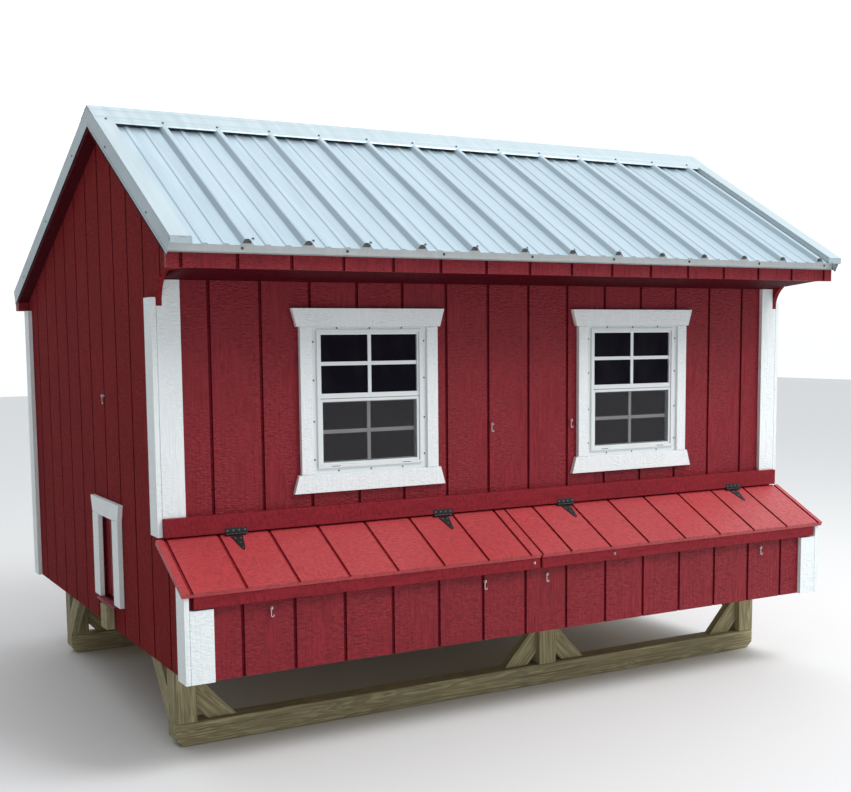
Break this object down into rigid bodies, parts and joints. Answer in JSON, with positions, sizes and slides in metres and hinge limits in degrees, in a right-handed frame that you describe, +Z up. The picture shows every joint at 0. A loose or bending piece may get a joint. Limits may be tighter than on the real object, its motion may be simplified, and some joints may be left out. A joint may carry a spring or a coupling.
{
  "type": "chicken coop",
  "caption": "Raised wooden chicken coop on skids with grooved red walls, a ribbed metal roof, a row of lidded nest boxes in front, sash windows and a small sliding hen door.",
  "frame": {"origin": "on the ground, under the middle of the roof's outline", "axes": "+X along the coop, seen from the nest side from left to right; +Y from the nest boxes to the back wall; +Z up"},
  "size_m": [3.1552, 2.6124, 2.4804],
  "materials": {
    "barn_red": "dark red paint on grained siding and boards",
    "white_trim": "white paint on grained boards",
    "treated_lumber": "rough pressure-treated pine with a green-brown cast",
    "bare_board": "unpainted boards",
    "roof_metal": "pale ribbed sheet, satin",
    "black_iron": "black powder coat",
    "window_frame": "white enamel",
    "window_glass": "clear panes that look dark"
  },
  "bodies": {
    "coop": {"back_wall": "barn_red", "corner_trim_back_left": "white_trim", "corner_trim_back_right": "white_trim", "corner_trim_front_left": "white_trim", "corner_trim_front_right": "white_trim", "corner_trim_nest_left": "white_trim", "corner_trim_nest_right": "white_trim", "fascia_back": "barn_red", "fascia_front": "barn_red", "floor": "bare_board", "front_wall": "barn_red", "hen_door_casing": "white_trim", "hen_door_sill": "barn_red", "hen_door_track": "bare_board", "hinge_leaf_left_1": "black_iron", "hinge_leaf_left_2": "black_iron", "hinge_leaf_right_1": "black_iron", "hinge_leaf_right_2": "black_iron", "ledger": "barn_red", "left_gable_back": "barn_red", "left_gable_front": "barn_red", "left_gable_over_door": "barn_red", "leg_back_left": "treated_lumber", "leg_back_middle": "treated_lumber", "leg_back_right": "treated_lumber", "leg_front_left": "treated_lumber", "leg_front_middle": "treated_lumber", "leg_front_right": "treated_lumber", "metal_roof_back": "roof_metal", "metal_roof_front": "roof_metal", "nest_front_wall": "barn_red", "rake_board_left": "barn_red", "rake_board_right": "barn_red", "rake_flange_left": "roof_metal", "rake_flange_right": "roof_metal", "rake_trim_left": "roof_metal", "rake_trim_right": "roof_metal", "ramp_block": "treated_lumber", "ridge_cap": "roof_metal", "right_gable_wall": "barn_red", "roof_boards_back": "bare_board", "roof_boards_front": "bare_board", "skid_back": "treated_lumber", "skid_front": "treated_lumber", "soffit_front": "barn_red", "window_casing_left": "white_trim", "window_casing_right": "white_trim", "window_frame_left": "window_frame", "window_frame_right": "window_frame", "window_glass_left": "window_glass", "window_glass_right": "window_glass"},
    "nest_lid_left": {"nest_lid_left": "barn_red", "nest_apron_left": "barn_red", "hinge_strap_left_1": "black_iron", "hinge_strap_left_2": "black_iron"},
    "nest_lid_right": {"nest_lid_right": "barn_red", "nest_apron_right": "barn_red", "hinge_strap_right_1": "black_iron", "hinge_strap_right_2": "black_iron"},
    "hen_door": {"hen_door": "barn_red"}
  },
  "joints": [
    {"name": "nest_lid_left_hinge", "type": "hinge", "parent": "coop", "child": "nest_lid_left", "pos_m": [-0.79883, -0.98234, 0.81915], "axis": [-1, 0, 0], "range_deg": [0, 110]},
    {"name": "nest_lid_right_hinge", "type": "hinge", "parent": "coop", "child": "nest_lid_right", "pos_m": [0.75946, -0.98234, 0.81915], "axis": [-1, 0, 0], "range_deg": [0, 110]},
    {"name": "hen_door_slide", "type": "slide", "parent": "coop", "child": "hen_door", "axis": [0, 0, 1], "range_m": [0, 0.34544]}
  ]
}
